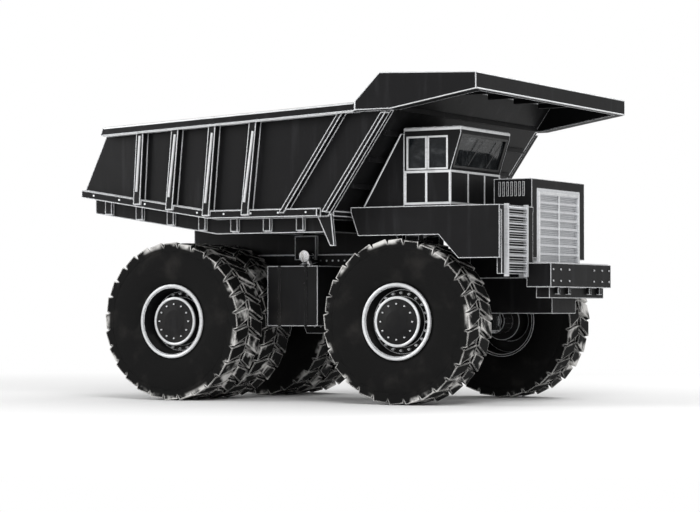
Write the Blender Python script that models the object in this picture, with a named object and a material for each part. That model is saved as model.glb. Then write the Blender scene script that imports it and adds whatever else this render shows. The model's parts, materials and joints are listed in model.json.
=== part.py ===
"""Rigid-frame mining dump truck: chassis, six wheels, cab deck and a lifting dump body.

Metres, +X forward, +Y to the truck's left, +Z up. The origin is on the ground, under the middle
of the truck's box. Every moving piece has its origin on its joint's axis.
"""
import bpy
import bmesh
from math import cos, pi, radians, sin
from mathutils import Matrix, Vector

for old in list(bpy.data.objects):
    bpy.data.objects.remove(old, do_unlink=True)

# ---------------------------------------------------------------- driving dimensions
SEAT = 0.0003            # gap left where two pieces touch
RUN = 0.0006             # radial clearance of a sliding tube
CLEAR = 0.010            # clearance of a pin in its lug

# wheels
TYRE_R = 1.60
TYRE_W = 1.00
RIM_R = 0.745
HUB_R = 0.485
WHEEL_SIDES = 36
AXLE_Z = TYRE_R * cos(pi / WHEEL_SIDES)   # the tread stands on one of its flats
FRONT_X = 2.12
REAR_X = -3.02
FRONT_TYRE_Y = 2.32      # middle of a front tyre
DUAL_GAP = 0.12          # between the twin rear tyres
REAR_OUTER_Y = 2.32      # middle of an outer rear tyre
REAR_INNER_Y = REAR_OUTER_Y - TYRE_W - DUAL_GAP
KINGPIN_Y = 1.45
SPINDLE_R = 0.185
STEER_ARM = 0.90         # kingpin to tie rod
STEER_ARM_Z = TYRE_R - 0.24   # underside of the arm

# frame
RAIL_IN = 0.34
RAIL_OUT = 0.56
RAIL_TOP = 2.95
RAIL_LOW = 1.34
RAIL_REAR_LOW = 2.25
NOSE_TOP = 2.45
NOSE_LOW = 1.75
NOSE_X = 4.38
PIVOT = Vector((-3.43, 0.0, 2.80))        # hinge of the dump body
PIVOT_PIN_R = 0.12
PORTAL_X = (1.15, 1.45)                    # uprights that carry the rear of the decks
PORTAL_LOW = 3.32

# deck, hood and cab
DECK_TOP = 3.80
DECK_T = 0.10
DECK_REAR = 1.12
DECK_FRONT = 4.30
DECK_HALF = 2.76
HOOD_HALF = 1.25
HOOD_REAR = 3.46
HOOD_TOP = 4.36
NOSE_FACE = 4.27
GRILLE_HALF = 1.015
GRILLE_TOP = 4.17
BUMPER_FRONT = 4.76
BUMPER_HALF = 1.45
BUMPER_Z = (2.26, 2.72)
LADDER_Y = (1.64, 2.56)
LADDER_LOW = 2.45
SKIRT_LOW = 3.25         # lower edge of the decks' outer skirts, over the tyres
SKIRT_NOSE_LOW = 2.80    # and ahead of them
CAB_Y = (-2.60, -0.45)
CAB_REAR = 2.20
CAB_FLOOR_FRONT = 3.20
CAB_SILL = 4.50
CAB_BROW = 3.42
CAB_ROOF = 5.30
CAB_WALL = 0.07
DOOR_X = (2.42, 3.02)
DOOR_Z = (3.95, 5.12)
SHIELD_Y = (CAB_Y[0] + 0.10, CAB_Y[1] - 0.10)
SHIELD_Z = (4.56, 5.14)
SIDE_LIGHTS = [
    # x from, x to
    (2.28, 2.67),
    (2.73, 3.12),
]
LIGHT_Z = (4.52, 5.12)

# dump body
BODY_HALF = 3.20         # inside of the side plates
SIDE_T = 0.10
RIB_OUT = BODY_HALF + 0.28
BODY_OUT = BODY_HALF + 0.34
TAIL_X = -4.76
KINK_X = -1.74           # where the floor starts to rise towards the tail
FLOOR_Z = 3.72           # top of the level floor
TAIL_Z = 4.20            # top of the floor at the tail
FLOOR_T = 0.10
BEAM_DEPTH = 0.30        # crossbeams and sills under the floor
SIDE_REAR = (-4.17, 5.49)
SIDE_FRONT = (1.64, 5.76)
HEAD_FOOT = 0.85         # rear face of the headboard at the floor
HEAD_LEAN = 1.29 / 1.86  # forward lean of the headboard
HEAD_T = 0.14
CANOPY_REAR = (2.17, 6.31)
CANOPY_FRONT_X = 4.20
CANOPY_FRONT_Z = (5.91, 6.23)
CANOPY_SIDE_Z = 5.61
CANOPY_CEILING = 6.15

# hoist cylinders
BARREL_R = 0.15
BARREL_LENGTH = 1.40
HOIST_Y = RAIL_OUT + BARREL_R + 0.04
HOIST_FOOT = Vector((-0.23, 0.0, 1.50))
HOIST_EYE = Vector((-1.03, 0.0, 2.92))
HOIST_EYE_R = 0.12
HOIST_EYE_HALF = BARREL_R - 0.03    # half the width of the eye, beside a cheek on the body's rail
CHEEK_TOP = FLOOR_Z - FLOOR_T - BEAM_DEPTH + 0.02
STAGE_WALL = 0.03
BARREL_WALL = 0.02
STAGE_SPAN = (0.25, 1.47)
ROD_START = 0.35

# tanks
TANK_X = (-1.28, -0.12)
TANK_Y = (HOIST_Y + BARREL_R + 0.05, 1.90)   # clear of the hoist
TANK_Z = (1.50, 2.70)
TANK_ARM_REAR = (-1.05, -0.93)
TANK_ARM_FRONT = (-0.26, -0.14)

# ---------------------------------------------------------------- materials
PALETTE = {
    # name: (colour, roughness, metallic)
    "black_paint": ((0.02, 0.02, 0.022), 0.45, 0.2),
    "body_steel": ((0.03, 0.03, 0.032), 0.55, 0.3),
    "pale_steel": ((0.62, 0.63, 0.64), 0.35, 0.9),
    "chrome_rod": ((0.75, 0.75, 0.76), 0.15, 1.0),
    "tyre_rubber": ((0.025, 0.025, 0.025), 0.85, 0.0),
    "cab_glass": ((0.05, 0.06, 0.07), 0.08, 0.0),
    "seat_fabric": ((0.06, 0.06, 0.065), 0.9, 0.0),
}


def material(name):
    """The Principled material called name, made on first use."""
    found = bpy.data.materials.get(name)
    if found:
        return found
    colour, roughness, metallic = PALETTE[name]
    made = bpy.data.materials.new(name)
    made.use_nodes = True
    shader = made.node_tree.nodes["Principled BSDF"]
    shader.inputs["Base Color"].default_value = (*colour, 1.0)
    shader.inputs["Roughness"].default_value = roughness
    shader.inputs["Metallic"].default_value = metallic
    return made


# ---------------------------------------------------------------- shapes
def box(x, y, z):
    """A box from three (low, high) pairs."""
    bm = bmesh.new()
    bmesh.ops.create_cube(bm, size=1.0)
    size = [high - low for low, high in (x, y, z)]
    middle = [(high + low) / 2 for low, high in (x, y, z)]
    bmesh.ops.scale(bm, vec=size, verts=bm.verts)
    bmesh.ops.translate(bm, vec=middle, verts=bm.verts)
    return bm


def prism(outline, low, high):
    """An outline of (x, z) points pushed from y = low to y = high."""
    bm = bmesh.new()
    face = bm.faces.new([bm.verts.new((x, low, z)) for x, z in outline])
    grown = bmesh.ops.extrude_face_region(bm, geom=[face])["geom"]
    far = [item for item in grown if isinstance(item, bmesh.types.BMVert)]
    bmesh.ops.translate(bm, vec=(0, high - low, 0), verts=far)
    bmesh.ops.recalc_face_normals(bm, faces=bm.faces)
    return bm


def lathe(profile, sides, turned=0.5):
    """A profile of (radius, along) points turned about +Y; radius 0 closes on the axis.

    The profile is a closed ring unless it starts and ends on the axis. turned shifts the corners
    by that share of a side, and 0.5 puts a flat at the bottom.
    """
    bm = bmesh.new()
    on_axis = profile[0][0] == 0
    rings = []
    for radius, along in profile:
        if radius == 0:
            rings.append([bm.verts.new((0, along, 0))])
            continue
        angles = [2 * pi * (step + turned) / sides for step in range(sides)]
        rings.append([bm.verts.new((radius * sin(a), along, -radius * cos(a))) for a in angles])
    pairs = list(zip(rings, rings[1:]))
    if not on_axis:
        pairs.append((rings[-1], rings[0]))
    for first, second in pairs:
        for step in range(sides):
            after = (step + 1) % sides
            if len(first) == 1:
                bm.faces.new((first[0], second[after], second[step]))
            elif len(second) == 1:
                bm.faces.new((first[step], first[after], second[0]))
            else:
                bm.faces.new((first[step], first[after], second[after], second[step]))
    bmesh.ops.recalc_face_normals(bm, faces=bm.faces)
    return bm


def rod(start, end, radius, sides=12, turned=0.5):
    """A solid round bar between two points."""
    start, end = Vector(start), Vector(end)
    length = (end - start).length
    bm = lathe([(0, 0), (radius, 0), (radius, length), (0, length)], sides, turned)
    turn = Vector((0, 1, 0)).rotation_difference((end - start).normalized())
    bmesh.ops.transform(bm, matrix=Matrix.Translation(start) @ turn.to_matrix().to_4x4(), verts=bm.verts)
    return bm


def moved(bm, offset):
    """The same shape, carried by offset."""
    bmesh.ops.translate(bm, vec=offset, verts=bm.verts)
    return bm


def mesh_object(name, bm):
    """A linked object that owns the shape bm."""
    mesh = bpy.data.meshes.new(name)
    bm.to_mesh(mesh)
    bm.free()
    made = bpy.data.objects.new(name, mesh)
    bpy.context.collection.objects.link(made)
    return made


def piece(name, finish, solids, cuts=(), origin=(0, 0, 0)):
    """One sub-part: its solids joined, its cuts taken away, its origin set on its joint."""
    base = mesh_object(name, solids[0])
    steps = [("UNION", bm) for bm in solids[1:]] + [("DIFFERENCE", bm) for bm in cuts]
    tools = []
    for operation, bm in steps:
        tool = mesh_object(name + "_tool", bm)
        tool.hide_render = True
        tool.display_type = "WIRE"
        tools.append(tool)
        step = base.modifiers.new(operation.lower(), "BOOLEAN")
        step.operation = operation
        step.solver = "EXACT"
        step.object = tool
    if steps:
        depsgraph = bpy.context.evaluated_depsgraph_get()
        joined = bpy.data.meshes.new_from_object(base.evaluated_get(depsgraph))
        base.modifiers.clear()
        base.data = joined
        base.data.name = name
    for tool in tools:
        bpy.data.objects.remove(tool, do_unlink=True)
    tidy = bmesh.new()
    tidy.from_mesh(base.data)
    bmesh.ops.remove_doubles(tidy, verts=tidy.verts, dist=0.000001)
    bmesh.ops.translate(tidy, vec=-Vector(origin), verts=tidy.verts)
    tidy.to_mesh(base.data)
    tidy.free()
    base.location = origin
    base.data.materials.clear()
    base.data.materials.append(material(finish))
    base.data.shade_smooth()
    base.data.set_sharp_from_angle(angle=radians(35))
    return base


SIDES = {
    # name: direction across the truck
    "left": 1,
    "right": -1,
}


def span(side, low, high):
    """The (low, high) pair on one side of the truck, from distances off its middle plane."""
    return (low, high) if side > 0 else (-high, -low)


# ---------------------------------------------------------------- frame
def arc(centre, radius, start, end, steps):
    """Points of an arc in the x-z plane, from start to end degrees."""
    angles = [radians(start + (end - start) * step / steps) for step in range(steps + 1)]
    return [(centre[0] + radius * cos(a), centre[1] + radius * sin(a)) for a in angles]


def main_frame():
    """Two deep rails, their crossmembers, the body pivot tube and the deck portal."""
    outline = arc((PIVOT.x, PIVOT.z), RAIL_TOP - PIVOT.z, 90, 180, 6)
    outline += [(-3.50, RAIL_REAR_LOW), (-1.55, RAIL_REAR_LOW), (-1.15, RAIL_LOW), (1.35, RAIL_LOW)]
    outline += [(1.90, NOSE_LOW), (NOSE_X, NOSE_LOW), (NOSE_X, NOSE_TOP), (1.50, NOSE_TOP)]
    outline += [(1.05, RAIL_TOP)]
    shapes = [prism(outline, *span(side, RAIL_IN, RAIL_OUT)) for side in SIDES.values()]
    inner = (-RAIL_IN - 0.01, RAIL_IN + 0.01)
    crossmembers = [
        # x, z
        ((REAR_X - 0.10, REAR_X + 0.10), (2.62, 2.90)),
        ((-1.40, -1.20), (1.60, 2.80)),
        ((0.55, 0.75), (1.50, 2.70)),
        ((4.18, NOSE_X), (NOSE_LOW, NOSE_TOP)),
    ]
    shapes += [box(x, inner, z) for x, z in crossmembers]
    shapes.append(rod((PIVOT.x, inner[0], PIVOT.z), (PIVOT.x, inner[1], PIVOT.z), PIVOT_PIN_R, 16))
    deck_under = DECK_TOP - DECK_T - SEAT
    for side in SIDES.values():
        upright = span(side, RAIL_IN + 0.005, RAIL_OUT - 0.005)
        shapes.append(box(PORTAL_X, upright, (NOSE_TOP - 0.1, PORTAL_LOW + 0.05)))
        foot = (HOIST_FOOT.x - 0.13, HOIST_FOOT.x + 0.13)
        lug = span(side, RAIL_OUT - 0.01, HOIST_Y - BARREL_R - SEAT)
        shapes.append(box(foot, lug, (HOIST_FOOT.z - 0.13, HOIST_FOOT.z + 0.13)))
    shapes.append(box(PORTAL_X, (-2.30, 2.30), (PORTAL_LOW, deck_under)))
    piece("main_frame", "black_paint", shapes)


def front_beam():
    """The crossbeam over the rails that holds the two front suspension cylinders."""
    end = KINGPIN_Y - 0.22 - SEAT
    beam = box((FRONT_X - 0.25, FRONT_X + 0.25), (-end, end), (NOSE_TOP + SEAT, RAIL_TOP))
    piece("front_beam", "black_paint", [beam])


def front_strut(label, side):
    """A fixed suspension cylinder with the block that joins it to the beam."""
    at = (FRONT_X, side * KINGPIN_Y)
    barrel = rod((*at, 2.00), (*at, 3.05), 0.17, 16)
    block = box((FRONT_X - 0.15, FRONT_X + 0.15), span(side, KINGPIN_Y - 0.22, KINGPIN_Y), (2.52, 2.90))
    piece("front_strut_" + label, "pale_steel", [barrel, block])


def knuckle(label, side):
    """The turning kingpin, the wheel spindle and the steering arm."""
    origin = (FRONT_X, side * KINGPIN_Y, AXLE_Z)
    post = rod((*origin[:2], STEER_ARM_Z + 0.03), (*origin[:2], 2.00 - SEAT), 0.16, 16)
    hub_face = FRONT_TYRE_Y - 0.42

    def on_axle(y):
        return (FRONT_X, side * y, AXLE_Z)

    flange = rod(on_axle(KINGPIN_Y + 0.03), on_axle(hub_face - SEAT), 0.26, 16)
    spindle = rod(on_axle(KINGPIN_Y - 0.04), on_axle(FRONT_TYRE_Y + 0.08), SPINDLE_R, 16)
    tip = (FRONT_X - STEER_ARM - 0.08, FRONT_X + 0.05)
    arm = box(tip, span(side, KINGPIN_Y - 0.075, KINGPIN_Y + 0.066), (STEER_ARM_Z, STEER_ARM_Z + 0.12))
    piece("knuckle_" + label, "black_paint", [post, flange, spindle, arm], origin=origin)


def tie_rod():
    """The bar that joins both steering arms, with an upright eye under each."""
    x = FRONT_X - STEER_ARM
    low = STEER_ARM_Z - 0.17
    eyes = [rod((x, y, low), (x, y, STEER_ARM_Z - SEAT), 0.07) for y in (KINGPIN_Y, -KINGPIN_Y)]
    bar = rod((x, -KINGPIN_Y, low + 0.06), (x, KINGPIN_Y, low + 0.06), 0.05)
    piece("tie_rod", "black_paint", [bar] + eyes, origin=(x, KINGPIN_Y, STEER_ARM_Z))


# ---------------------------------------------------------------- wheels
def tyre(name, y, x):
    """A wide flat-tread tyre around its rim, turned about the axle."""
    half = TYRE_W / 2
    bead = RIM_R + SEAT
    profile = [
        # radius, along the axle
        (bead, -half + 0.10), (1.15, -half + 0.01), (1.42, -half), (TYRE_R, -half + 0.08),
        (TYRE_R, half - 0.08), (1.42, half), (1.15, half - 0.01), (bead, half - 0.10),
    ]
    bm = moved(lathe(profile, WHEEL_SIDES), (x, y, AXLE_Z))
    piece(name, "tyre_rubber", [bm], origin=(x, y, AXLE_Z))


def front_rim(label, side):
    """Dished rim with its hub, blind-bored for the spindle."""
    bore = SPINDLE_R + 0.006
    profile = [
        (0, 0.09), (bore, 0.09), (bore, -0.42), (0.40, -0.42), (0.42, -0.02), (0.66, -0.02),
        (0.69, -0.44), (RIM_R, -0.44), (RIM_R, 0.44), (0.67, 0.44), (0.62, 0.20), (HUB_R, 0.20),
        (HUB_R - 0.02, 0.41), (0.22, 0.46), (0, 0.46),
    ]
    bm = lathe([(radius, side * along) for radius, along in profile], WHEEL_SIDES)
    origin = (FRONT_X, side * FRONT_TYRE_Y, AXLE_Z)
    piece("front_rim_" + label, "black_paint", [moved(bm, origin)], origin=origin)


def rear_rim(label, side):
    """One long rim for a pair of tyres, bored for the axle tube."""
    inner = REAR_INNER_Y - TYRE_W / 2 + 0.06
    outer = REAR_OUTER_Y + TYRE_W / 2 - 0.06
    bore = 0.45
    profile = [
        (0, 2.00), (bore, 2.00), (bore, inner), (RIM_R, inner), (RIM_R, outer), (0.67, outer),
        (0.60, outer - 0.34), (HUB_R, outer - 0.38), (HUB_R - 0.02, outer - 0.12),
        (0.22, outer - 0.08), (0, outer - 0.08),
    ]
    bm = lathe([(radius, side * along) for radius, along in profile], WHEEL_SIDES)
    origin = (REAR_X, 0, AXLE_Z)
    made = piece("rear_rim_" + label, "black_paint", [moved(bm, origin)], origin=origin)
    return made


def rear_axle():
    """Axle tube, final drive case, spring pads and the torque tube to the frame."""
    inner = REAR_INNER_Y - TYRE_W / 2 + 0.06
    tube = rod((REAR_X, -1.94, AXLE_Z), (REAR_X, 1.94, AXLE_Z), 0.40, 24)
    case = rod((REAR_X, -0.50, AXLE_Z), (REAR_X, 0.50, AXLE_Z), 0.52, 24)
    flanges = [
        rod((REAR_X, side * 0.45, AXLE_Z), (REAR_X, side * (inner - SEAT), AXLE_Z), 0.60, 24)
        for side in SIDES.values()
    ]
    pads = [
        box((REAR_X - 0.14, REAR_X + 0.14), span(side, 0.10, 0.34), (AXLE_Z, 2.16))
        for side in SIDES.values()
    ]
    torque = rod((REAR_X, 0, 1.75), (-1.40 - SEAT, 0, 1.75), 0.22, 16)
    piece("rear_axle", "black_paint", [tube, case] + flanges + pads + [torque])


def rear_strut(label, side):
    """Upright suspension cylinder between the axle's pad and the frame."""
    at = (REAR_X, side * 0.22)
    sleeve = rod((*at, 2.16 + SEAT), (*at, 2.40), 0.11, 16)
    shaft = rod((*at, 2.35), (*at, 2.62 - SEAT), 0.07, 16)
    piece("rear_strut_" + label, "pale_steel", [sleeve, shaft])


# ---------------------------------------------------------------- engine bay and decks
def engine():
    """Engine block on the rails with the transmission between them."""
    block = box((2.62, 3.75), (-0.60, 0.60), (NOSE_TOP + SEAT, 3.60))
    sump = box((2.62, 3.75), (-0.30, 0.30), (1.95, NOSE_TOP + 0.05))
    gearbox = rod((1.00, 0, 2.05), (2.70, 0, 2.05), 0.28, 16)
    piece("engine", "black_paint", [block, sump, gearbox])


def grille():
    """Radiator core with its frame and the level slats across its face."""
    core = box((3.85, 4.16), (-0.95, 0.95), (NOSE_TOP + SEAT, 3.75))
    frame = box((4.14 + SEAT, NOSE_FACE), (-GRILLE_HALF, GRILLE_HALF), (NOSE_TOP + SEAT, GRILLE_TOP))
    panel_low, panel_high, slats = 2.60, 4.10, 9
    pitch = (panel_high - panel_low) / slats
    cuts = [
        box((4.21, 4.40), (-0.90, 0.90), (panel_low + pitch * n, panel_low + pitch * (n + 0.72)))
        for n in range(slats)
    ]
    piece("radiator_grille", "pale_steel", [core, frame], cuts)


def hood():
    """Engine hood behind the grille, with a brow over it and a post down each side."""
    side_posts = [
        box((3.98, NOSE_FACE), span(side, GRILLE_HALF + SEAT, HOOD_HALF), (2.82, HOOD_TOP - 0.05))
        for side in SIDES.values()
    ]
    back = box((HOOD_REAR, 4.14), (-HOOD_HALF, HOOD_HALF), (DECK_TOP + 0.0, HOOD_TOP))
    brow = box((4.05, NOSE_FACE), (-HOOD_HALF, HOOD_HALF), (GRILLE_TOP + SEAT, HOOD_TOP))
    piece("hood", "black_paint", [back, brow] + side_posts)


def deck_skirt(side, front):
    """The plate along a deck's outer edge that hangs over the front tyre like a fender."""
    low = DECK_TOP - DECK_T
    outline = [(DECK_REAR, low + 0.02), (front, low + 0.02), (front, SKIRT_LOW)]
    outline.append((DECK_REAR + 0.16, SKIRT_LOW))
    if front == DECK_FRONT:
        nose = [(front, SKIRT_NOSE_LOW), (FRONT_X + 1.32, SKIRT_NOSE_LOW), (FRONT_X + 0.90, SKIRT_LOW)]
        outline[2:3] = nose
    return prism(outline, *span(side, DECK_HALF - 0.05, DECK_HALF))


def deck_right():
    """The deck under and around the cab, with the bulkhead behind the ladder."""
    z = (DECK_TOP - DECK_T, DECK_TOP)
    rear = box((DECK_REAR, HOOD_REAR - SEAT), (-DECK_HALF, CAB_Y[1] + 0.05), z)
    front = box((HOOD_REAR - 0.2, DECK_FRONT), (-DECK_HALF, -HOOD_HALF - SEAT), z)
    step_y = -BUMPER_HALF - 0.02
    x = (DECK_FRONT - 0.10, DECK_FRONT)
    outer_wall = box(x, (-DECK_HALF + 0.10, step_y), (LADDER_LOW + 0.05, z[0] + 0.05))
    inner_wall = box(x, (step_y - 0.02, -HOOD_HALF - 0.02), (BUMPER_Z[1] + SEAT, z[0] + 0.04))
    skirt = deck_skirt(SIDES["right"], DECK_FRONT)
    piece("deck_right", "black_paint", [rear, front, outer_wall, inner_wall, skirt])


def deck_left():
    """The open deck on the other side, which ends where the hood starts."""
    z = (DECK_TOP - DECK_T, DECK_TOP)
    front = HOOD_REAR - SEAT
    rear = box((DECK_REAR, front), (CAB_Y[1] + 0.05 + SEAT, DECK_HALF), z)
    piece("deck_left", "black_paint", [rear, deck_skirt(SIDES["left"], front)])


def bumper():
    """Deep front bumper, set back beside the nose, with a tow block under its middle."""
    behind = HOOD_HALF + 0.02
    centre = box((NOSE_X + SEAT, BUMPER_FRONT), (-BUMPER_HALF, BUMPER_HALF), BUMPER_Z)
    wings = [box((4.25, NOSE_X + 0.1), span(side, behind, BUMPER_HALF), BUMPER_Z) for side in SIDES.values()]
    tow = box((NOSE_X + SEAT, BUMPER_FRONT - 0.10), (-1.30, 1.30), (2.05, BUMPER_Z[0] + 0.05))
    piece("front_bumper", "black_paint", [centre, tow] + wings)


def ladder(label, side):
    """Steps beside the bumper, up the bulkhead to the deck."""
    bottom = LADDER_LOW
    x = (DECK_FRONT + SEAT, DECK_FRONT + 0.08)
    low, high = LADDER_Y
    tread_x = DECK_FRONT + 0.04
    stiles = [box(x, span(side, y, y + 0.06), (bottom, DECK_TOP + 0.02)) for y in (low, high - 0.06)]
    rungs = [
        rod((tread_x, side * (low + 0.03), z), (tread_x, side * (high - 0.03), z), 0.018, 8)
        for z in [bottom + 0.15 * (n + 0.7) for n in range(9)]
    ]
    piece("ladder_" + label, "pale_steel", stiles + rungs)


def tank(name, side):
    """A tank hung beside the frame on two arms."""
    shell = box(TANK_X, span(side, *TANK_Y), TANK_Z)
    arms = [
        box(x, span(side, RAIL_OUT + SEAT, TANK_Y[0] + 0.05), (z, z + 0.20))
        for x, z in ((TANK_ARM_REAR, TANK_Z[0] + 0.05), (TANK_ARM_FRONT, TANK_Z[0] + 0.80))
    ]
    piece(name, "black_paint", [shell] + arms)


# ---------------------------------------------------------------- cab
def cab_outline(inset):
    """Side outline of the cab, set in by inset: upright back, leaning windshield."""
    base = DECK_TOP + SEAT
    return [
        (CAB_REAR + inset, base + inset), (CAB_FLOOR_FRONT - inset, base + inset),
        (CAB_FLOOR_FRONT - inset, CAB_SILL), (CAB_BROW - inset, CAB_ROOF - 0.12),
        (CAB_BROW - inset, CAB_ROOF - inset), (CAB_REAR + inset, CAB_ROOF - inset),
    ]


def cab_shell():
    """Hollow cab with its windshield, side window and door openings cut through."""
    cuts = [prism(cab_outline(CAB_WALL), CAB_Y[0] + CAB_WALL, CAB_Y[1] - CAB_WALL)]
    cuts.append(box((3.12, 3.60), SHIELD_Y, SHIELD_Z))
    cuts += [box(x, (CAB_Y[0] - 0.1, CAB_Y[0] + CAB_WALL + 0.02), LIGHT_Z) for x in SIDE_LIGHTS]
    cuts.append(box(DOOR_X, (CAB_Y[1] - CAB_WALL - 0.02, CAB_Y[1] + 0.1), DOOR_Z))
    piece("cab_shell", "black_paint", [prism(cab_outline(0), *CAB_Y)], cuts)


def cab_glass():
    """The windshield and the two side lights, each seated in its opening."""
    lean = (CAB_BROW - CAB_FLOOR_FRONT) / (CAB_ROOF - 0.12 - CAB_SILL)
    low, high = SHIELD_Z[0] + SEAT, SHIELD_Z[1] - SEAT
    face_low = CAB_FLOOR_FRONT + (low - CAB_SILL) * lean - 0.04
    face_high = CAB_FLOOR_FRONT + (high - CAB_SILL) * lean - 0.04
    outline = [(face_low - 0.02, low), (face_low, low), (face_high, high), (face_high - 0.02, high)]
    piece("windshield", "cab_glass", [prism(outline, SHIELD_Y[0] + SEAT, SHIELD_Y[1] - SEAT)])
    for number, (first, last) in enumerate(SIDE_LIGHTS, 1):
        height = (LIGHT_Z[0] + SEAT, LIGHT_Z[1] - SEAT)
        pane = box((first + SEAT, last - SEAT), (CAB_Y[0] + 0.025, CAB_Y[0] + 0.045), height)
        piece("side_glass_%d" % number, "cab_glass", [pane])


def cab_door():
    """Door on the cab's inner side, hung at its front edge, with its own window."""
    gap = 0.006
    y = (CAB_Y[1] - 0.05, CAB_Y[1])
    hinge = (DOOR_X[1], CAB_Y[1] + 0.02, DOOR_Z[0])
    leaf = box((DOOR_X[0] + gap, DOOR_X[1] - gap), y, (DOOR_Z[0] + SEAT, DOOR_Z[1] - gap))
    light_x = (DOOR_X[0] + 0.09, DOOR_X[1] - 0.09)
    light = box(light_x, (y[0] - 0.1, y[1] + 0.1), (LIGHT_Z[0], DOOR_Z[1] - 0.09))
    piece("cab_door", "black_paint", [leaf], [light], origin=hinge)
    pane = box(
        (DOOR_X[0] + 0.09 + SEAT, DOOR_X[1] - 0.09 - SEAT), (y[0] + 0.015, y[1] - 0.015),
        (LIGHT_Z[0] + SEAT, DOOR_Z[1] - 0.09 - SEAT),
    )
    piece("cab_door_glass", "cab_glass", [pane], origin=hinge)


def cab_inside():
    """The operator's seat and the dash with its steering wheel."""
    floor = DECK_TOP + CAB_WALL + 2 * SEAT
    middle = (CAB_Y[0] + CAB_Y[1]) / 2
    pedestal = box((2.50, 2.80), (middle - 0.18, middle + 0.18), (floor, floor + 0.32))
    cushion = box((2.40, 2.92), (middle - 0.28, middle + 0.28), (floor + 0.30, floor + 0.44))
    back = prism(
        [(2.38, floor + 0.40), (2.54, floor + 0.40), (2.44, floor + 1.02), (2.31, floor + 1.02)],
        middle - 0.27, middle + 0.27,
    )
    piece("operator_seat", "seat_fabric", [cushion, pedestal, back])
    dash_x = (3.00, CAB_FLOOR_FRONT - CAB_WALL - SEAT)
    dash = box(dash_x, (CAB_Y[0] + 0.30, CAB_Y[1] - 0.30), (floor, floor + 0.60))
    column = rod((3.05, middle, floor + 0.52), (2.92, middle, floor + 0.70), 0.03, 8)
    wheel = rod((2.93, middle, floor + 0.68), (2.915, middle, floor + 0.705), 0.17, 16)
    piece("dash_console", "black_paint", [dash, column, wheel])


def cab_back():
    """Sloping guard that closes the space behind the cab."""
    base = DECK_TOP + SEAT
    outline = [(CAB_REAR - SEAT, base), (CAB_REAR - SEAT, 5.20), (CAB_REAR - 0.06, 5.20), (1.32, base)]
    piece("cab_rear_guard", "black_paint", [prism(outline, *CAB_Y)])


# ---------------------------------------------------------------- dump body
def floor_points(drop):
    """The load floor's line from the headboard to the tail, lowered by drop."""
    return [(HEAD_FOOT + HEAD_T, FLOOR_Z - drop), (KINK_X, FLOOR_Z - drop), (TAIL_X, TAIL_Z - drop)]


def floor_height(x):
    """Height of the floor's top at x."""
    if x >= KINK_X:
        return FLOOR_Z
    return FLOOR_Z + (TAIL_Z - FLOOR_Z) * (KINK_X - x) / (KINK_X - TAIL_X)


def bed_floor():
    """Load floor with stiffening beams across its underside."""
    outline = floor_points(0) + floor_points(FLOOR_T)[::-1]
    shapes = [prism(outline, -BODY_HALF + SEAT, BODY_HALF - SEAT)]
    for x in (-4.30, -3.55, -2.80, -2.05, -1.30, -0.55, 0.20):
        under = min(floor_height(x - 0.08), floor_height(x + 0.08)) - FLOOR_T
        for side in SIDES.values():
            reach = span(side, RAIL_OUT + 0.02, BODY_HALF - 0.05)
            shapes.append(box((x - 0.08, x + 0.08), reach, (under - BEAM_DEPTH + 0.04, under + 0.05)))
    sill = [(0.80, FLOOR_Z), (KINK_X, FLOOR_Z), (TAIL_X + 0.10, floor_height(TAIL_X + 0.10))]
    lowered = [(x, z - FLOOR_T + 0.04) for x, z in sill]
    lowered += [(x, z - FLOOR_T - BEAM_DEPTH) for x, z in sill[::-1]]
    for side in SIDES.values():
        shapes.append(prism(lowered, *span(side, BODY_HALF - 0.28, BODY_HALF - 0.12)))
    piece("bed_floor", "body_steel", shapes, origin=PIVOT)


def bed_rails():
    """The two underbody rails with the pivot lugs and the hoist brackets."""
    low = RAIL_TOP + SEAT
    top = FLOOR_T + SEAT
    outline = [(-3.90, low), (0.97, low), (0.97, FLOOR_Z - top), (KINK_X, FLOOR_Z - top)]
    outline.append((-3.90, floor_height(-3.90) - top))
    shapes = [prism(outline, *span(side, RAIL_IN, RAIL_OUT)) for side in SIDES.values()]
    for x in ((-3.62, -3.20), (-0.10, 0.10)):
        shapes.append(box(x, (-RAIL_IN - 0.01, RAIL_IN + 0.01), (low + 0.02, 3.45)))
    ring = arc((PIVOT.x, PIVOT.z), 0.24, 180, 360, 10)
    lug = ring + [(PIVOT.x + 0.24, 3.20), (PIVOT.x - 0.24, 3.20)]
    for side in SIDES.values():
        shapes.append(prism(lug, *span(side, 0.12, 0.30)))
        cheek_y = HOIST_Y - HOIST_EYE_HALF - SEAT
        cheek_x = (HOIST_EYE.x - 0.36, HOIST_EYE.x + 0.14)
        shapes.append(box(cheek_x, span(side, RAIL_OUT + 0.006, cheek_y), (HOIST_EYE.z - 0.07, CHEEK_TOP)))
        root = span(side, RAIL_OUT - 0.01, cheek_y - 0.01)
        shapes.append(box(cheek_x, root, (low + 0.05, CHEEK_TOP - 0.02)))
    hole = rod((PIVOT.x, -0.4, PIVOT.z), (PIVOT.x, 0.4, PIVOT.z), PIVOT_PIN_R + CLEAR, 16)
    piece("bed_rails", "body_steel", shapes, [hole], origin=PIVOT)


def head_x(z):
    """The headboard's rear face at height z."""
    return HEAD_FOOT + (z - FLOOR_Z) * HEAD_LEAN


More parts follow.
